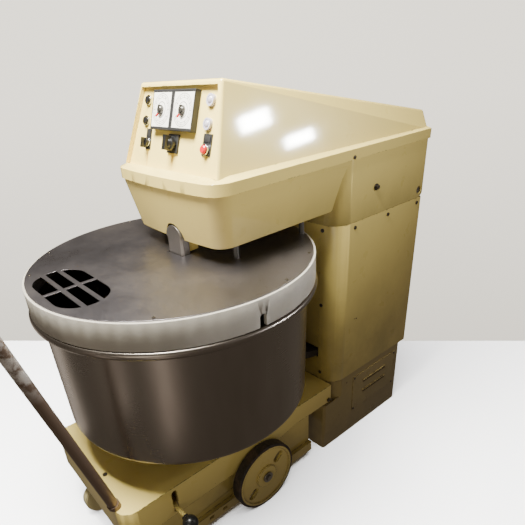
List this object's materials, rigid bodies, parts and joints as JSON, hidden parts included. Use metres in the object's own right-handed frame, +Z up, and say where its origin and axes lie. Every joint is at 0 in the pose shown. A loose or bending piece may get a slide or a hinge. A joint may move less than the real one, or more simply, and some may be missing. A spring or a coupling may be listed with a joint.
{
  "type": "spiral dough mixer",
  "caption": "Spiral dough mixer: tilting head on a column, sloped control panel, steel bowl with gridded lid, hook and breaker bar, and a wheeled truck with a push handle.",
  "frame": {"origin": "on the floor at the middle of the machine's footprint", "axes": "+X the operator's right, +Y back to the column, +Z up"},
  "size_m": [0.946, 1.654, 1.4739],
  "materials": {
    "cream_paint": "worn gloss",
    "dark_cream_paint": "worn satin",
    "steel": "satin",
    "bowl_steel": "polished",
    "tool_steel": "polished",
    "lid_steel": "brushed",
    "white_plastic": "satin",
    "black_plastic": "satin",
    "grey_plastic": "satin",
    "dial_face": "matte",
    "red_plastic": "gloss",
    "lens": "gloss",
    "chrome": "bright",
    "motor_paint": "satin",
    "cast_iron": "rough",
    "belt_rubber": "matte",
    "tyre": "matte",
    "roller_rubber": "matte",
    "screw_steel": "dull",
    "worn_tube": "worn",
    "castor_nylon": "matte"
  },
  "bodies": {
    "frame": {"base_plinth": "dark_cream_paint", "vent_panels": "dark_cream_paint", "column_frame": "steel", "column_panel_right": "cream_paint", "column_panel_left": "cream_paint", "column_front_plate": "cream_paint", "column_back_panel": "cream_paint", "frame_screws": "screw_steel", "bowl_motor": "motor_paint", "truck_deck": "cream_paint", "truck_chassis": "dark_cream_paint", "wheel_axle": "steel", "bowl_bearing_housing": "cream_paint", "bowl_bearings": "chrome", "push_handle": "worn_tube"},
    "head": {"head_housing": "cream_paint", "head_cover": "cream_paint", "control_panel": "cream_paint", "head_frame": "steel", "spiral_motor": "motor_paint", "spiral_bearing_housing": "cast_iron", "spiral_bearings": "chrome", "drive_belts": "belt_rubber", "breaker_bar": "tool_steel", "bar_bracket": "cream_paint", "lid_disc": "lid_steel", "lid_ring": "white_plastic", "lid_standoffs": "steel", "head_screws": "screw_steel", "timer_box": "black_plastic", "timer_dials": "dial_face", "button_rings": "chrome", "pilot_lamps": "lens", "switch_plates": "black_plastic"},
    "spiral": {"spiral_hook": "tool_steel", "spiral_shaft": "steel", "spiral_pulley": "cast_iron"},
    "motor_drive": {"motor_pulley": "cast_iron"},
    "bowl_unit": {"bowl": "bowl_steel", "bowl_turntable": "steel"},
    "roller": {"drive_roller": "roller_rubber"},
    "barrel": {"lift_barrel": "steel"},
    "rod": {"lift_rod": "chrome"},
    "main_wheel_right": {"wheel_right": "cream_paint", "tyre_right": "tyre"},
    "main_wheel_left": {"wheel_left": "cream_paint", "tyre_left": "tyre"},
    "castor_right": {"caster_fork_right": "cream_paint"},
    "castor_wheel_right": {"caster_wheel_right": "castor_nylon"},
    "castor_left": {"caster_fork_left": "cream_paint"},
    "castor_wheel_left": {"caster_wheel_left": "castor_nylon"},
    "lever": {"lock_lever": "cream_paint", "lever_knob": "black_plastic"},
    "upper_button": {"start_button_upper": "black_plastic"},
    "lower_button": {"start_button_lower": "black_plastic"},
    "red_button": {"stop_button": "red_plastic"},
    "selector": {"selector_knob": "black_plastic"},
    "rotary_switch": {"rotary_knob": "black_plastic"},
    "left_timer": {"timer_knob_left": "grey_plastic"},
    "right_timer": {"timer_knob_right": "grey_plastic"}
  },
  "joints": [
    {"name": "head_tilt", "type": "hinge", "parent": "frame", "child": "head", "pos_m": [0, 0.797, 1.005], "axis": [-1, 0, 0], "range_deg": [0, 35]},
    {"name": "spiral_spin", "type": "hinge", "parent": "head", "child": "spiral", "pos_m": [0, 0.05, 0.9], "axis": [0, 0, 1], "continuous": true},
    {"name": "motor_pulley_spin", "type": "hinge", "parent": "head", "child": "motor_drive", "pos_m": [0, 0.607, 1.22], "axis": [0, 0, 1], "continuous": true},
    {"name": "bowl_spin", "type": "hinge", "parent": "frame", "child": "bowl_unit", "pos_m": [0, -0.193, 0.458], "axis": [0, 0, 1], "continuous": true},
    {"name": "roller_spin", "type": "hinge", "parent": "frame", "child": "roller", "pos_m": [0, 0.3523, 0.438], "axis": [0, 0, 1], "continuous": true},
    {"name": "barrel_swing", "type": "hinge", "parent": "frame", "child": "barrel", "pos_m": [0.175, 0.567, 0.42], "axis": [-1, 0, 0], "range_deg": [0, 8]},
    {"name": "rod_slide", "type": "slide", "parent": "barrel", "child": "rod", "axis": [0, -0.0789, 0.9969], "range_m": [0, 0.16]},
    {"name": "wheel_right_spin", "type": "hinge", "parent": "frame", "child": "main_wheel_right", "pos_m": [0.295, -0.101, 0.136], "axis": [1, 0, 0], "continuous": true},
    {"name": "wheel_left_spin", "type": "hinge", "parent": "frame", "child": "main_wheel_left", "pos_m": [-0.295, -0.101, 0.136], "axis": [1, 0, 0], "continuous": true},
    {"name": "castor_right_swivel", "type": "hinge", "parent": "frame", "child": "castor_right", "pos_m": [0.115, -0.555, 0.18], "axis": [0, 0, 1], "continuous": true},
    {"name": "castor_right_wheel_spin", "type": "hinge", "parent": "castor_right", "child": "castor_wheel_right", "pos_m": [0.115, -0.593, 0.068], "axis": [1, 0, 0], "continuous": true},
    {"name": "castor_left_swivel", "type": "hinge", "parent": "frame", "child": "castor_left", "pos_m": [-0.115, -0.555, 0.18], "axis": [0, 0, 1], "continuous": true},
    {"name": "castor_left_wheel_spin", "type": "hinge", "parent": "castor_left", "child": "castor_wheel_left", "pos_m": [-0.115, -0.593, 0.068], "axis": [1, 0, 0], "continuous": true},
    {"name": "lock_lever_lift", "type": "hinge", "parent": "frame", "child": "lever", "pos_m": [0.2, -0.468, 0.232], "axis": [0, -1, 0], "range_deg": [0, 36]},
    {"name": "start_upper_press", "type": "slide", "parent": "head", "child": "upper_button", "axis": [0, 0.9521, -0.3057], "range_m": [0, 0.003], "stiffness_N_per_m": 3000},
    {"name": "start_lower_press", "type": "slide", "parent": "head", "child": "lower_button", "axis": [0, 0.9521, -0.3057], "range_m": [0, 0.003], "stiffness_N_per_m": 3000},
    {"name": "stop_press", "type": "slide", "parent": "head", "child": "red_button", "axis": [0, 0.9521, -0.3057], "range_m": [0, 0.003], "stiffness_N_per_m": 3000},
    {"name": "selector_turn", "type": "hinge", "parent": "head", "child": "selector", "pos_m": [-0.141, -0.13146, 1.30261], "axis": [0, -0.9521, 0.3057], "range_deg": [-45, 45]},
    {"name": "rotary_turn", "type": "hinge", "parent": "head", "child": "rotary_switch", "pos_m": [0.006, -0.13024, 1.30642], "axis": [0, -0.9521, 0.3057], "range_deg": [-90, 90]},
    {"name": "timer_left_turn", "type": "hinge", "parent": "head", "child": "left_timer", "pos_m": [-0.057, -0.10211, 1.39401], "axis": [0, -0.9521, 0.3057], "range_deg": [-300, 0]},
    {"name": "timer_right_turn", "type": "hinge", "parent": "head", "child": "right_timer", "pos_m": [0.057, -0.10211, 1.39401], "axis": [0, -0.9521, 0.3057], "range_deg": [-300, 0]}
  ],
  "couplings": [
    {"joint": "motor_pulley_spin", "follows": "spiral_spin", "ratio": 3.1667},
    {"joint": "roller_spin", "follows": "bowl_spin", "ratio": -1.7949},
    {"joint": "barrel_swing", "follows": "head_tilt", "ratio": 0.2111},
    {"joint": "rod_slide", "follows": "head_tilt", "m_per_rad": 0.24175}
  ]
}
